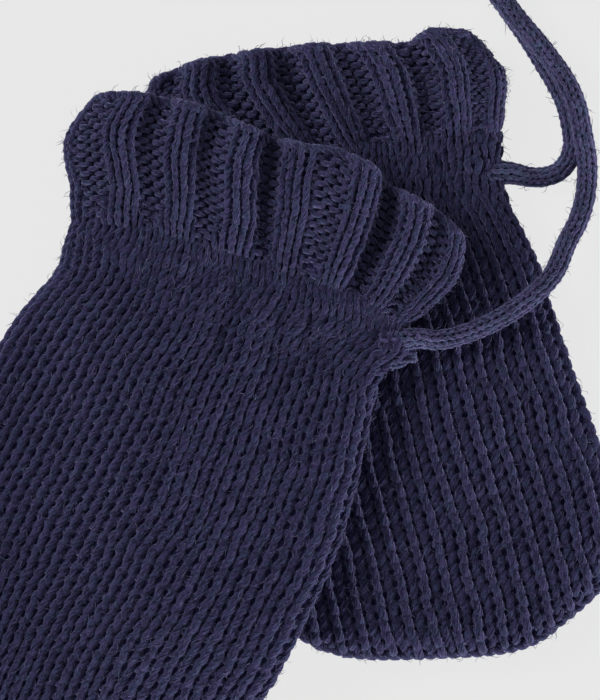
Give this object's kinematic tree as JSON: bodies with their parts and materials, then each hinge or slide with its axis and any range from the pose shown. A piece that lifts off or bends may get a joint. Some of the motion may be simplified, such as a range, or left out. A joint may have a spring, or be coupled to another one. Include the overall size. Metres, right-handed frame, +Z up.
{
  "type": "pair of baby mittens",
  "caption": "Pair of thumbless knitted baby mittens laid flat, one across the other, with ruffled ribbed cuffs and a knitted joining cord.",
  "frame": {"origin": "middle of the box of the two mittens without their cord, on the surface that they lie on", "axes": "+Z up from the surface, +Y towards the cuffs of the mittens, +X to the right seen from above"},
  "size_m": [0.1389, 0.1864, 0.0219],
  "materials": {
    "plain_knit": "navy stocking stitch in a soft plied yarn, matt",
    "ribbed_knit": "the same navy yarn in two-by-two rib, matt",
    "cord_knit": "the same navy yarn as a narrow knitted tube, matt"
  },
  "bodies": {
    "root": {"back_hand_back": "plain_knit", "back_hand_palm": "plain_knit", "back_cuff_back": "ribbed_knit", "back_cuff_palm": "ribbed_knit", "front_hand_back": "plain_knit", "front_hand_palm": "plain_knit", "front_cuff_back": "ribbed_knit", "front_cuff_palm": "ribbed_knit", "cord_front": "cord_knit", "cord_back": "cord_knit", "cord_coil": "cord_knit"}
  },
  "joints": []
}
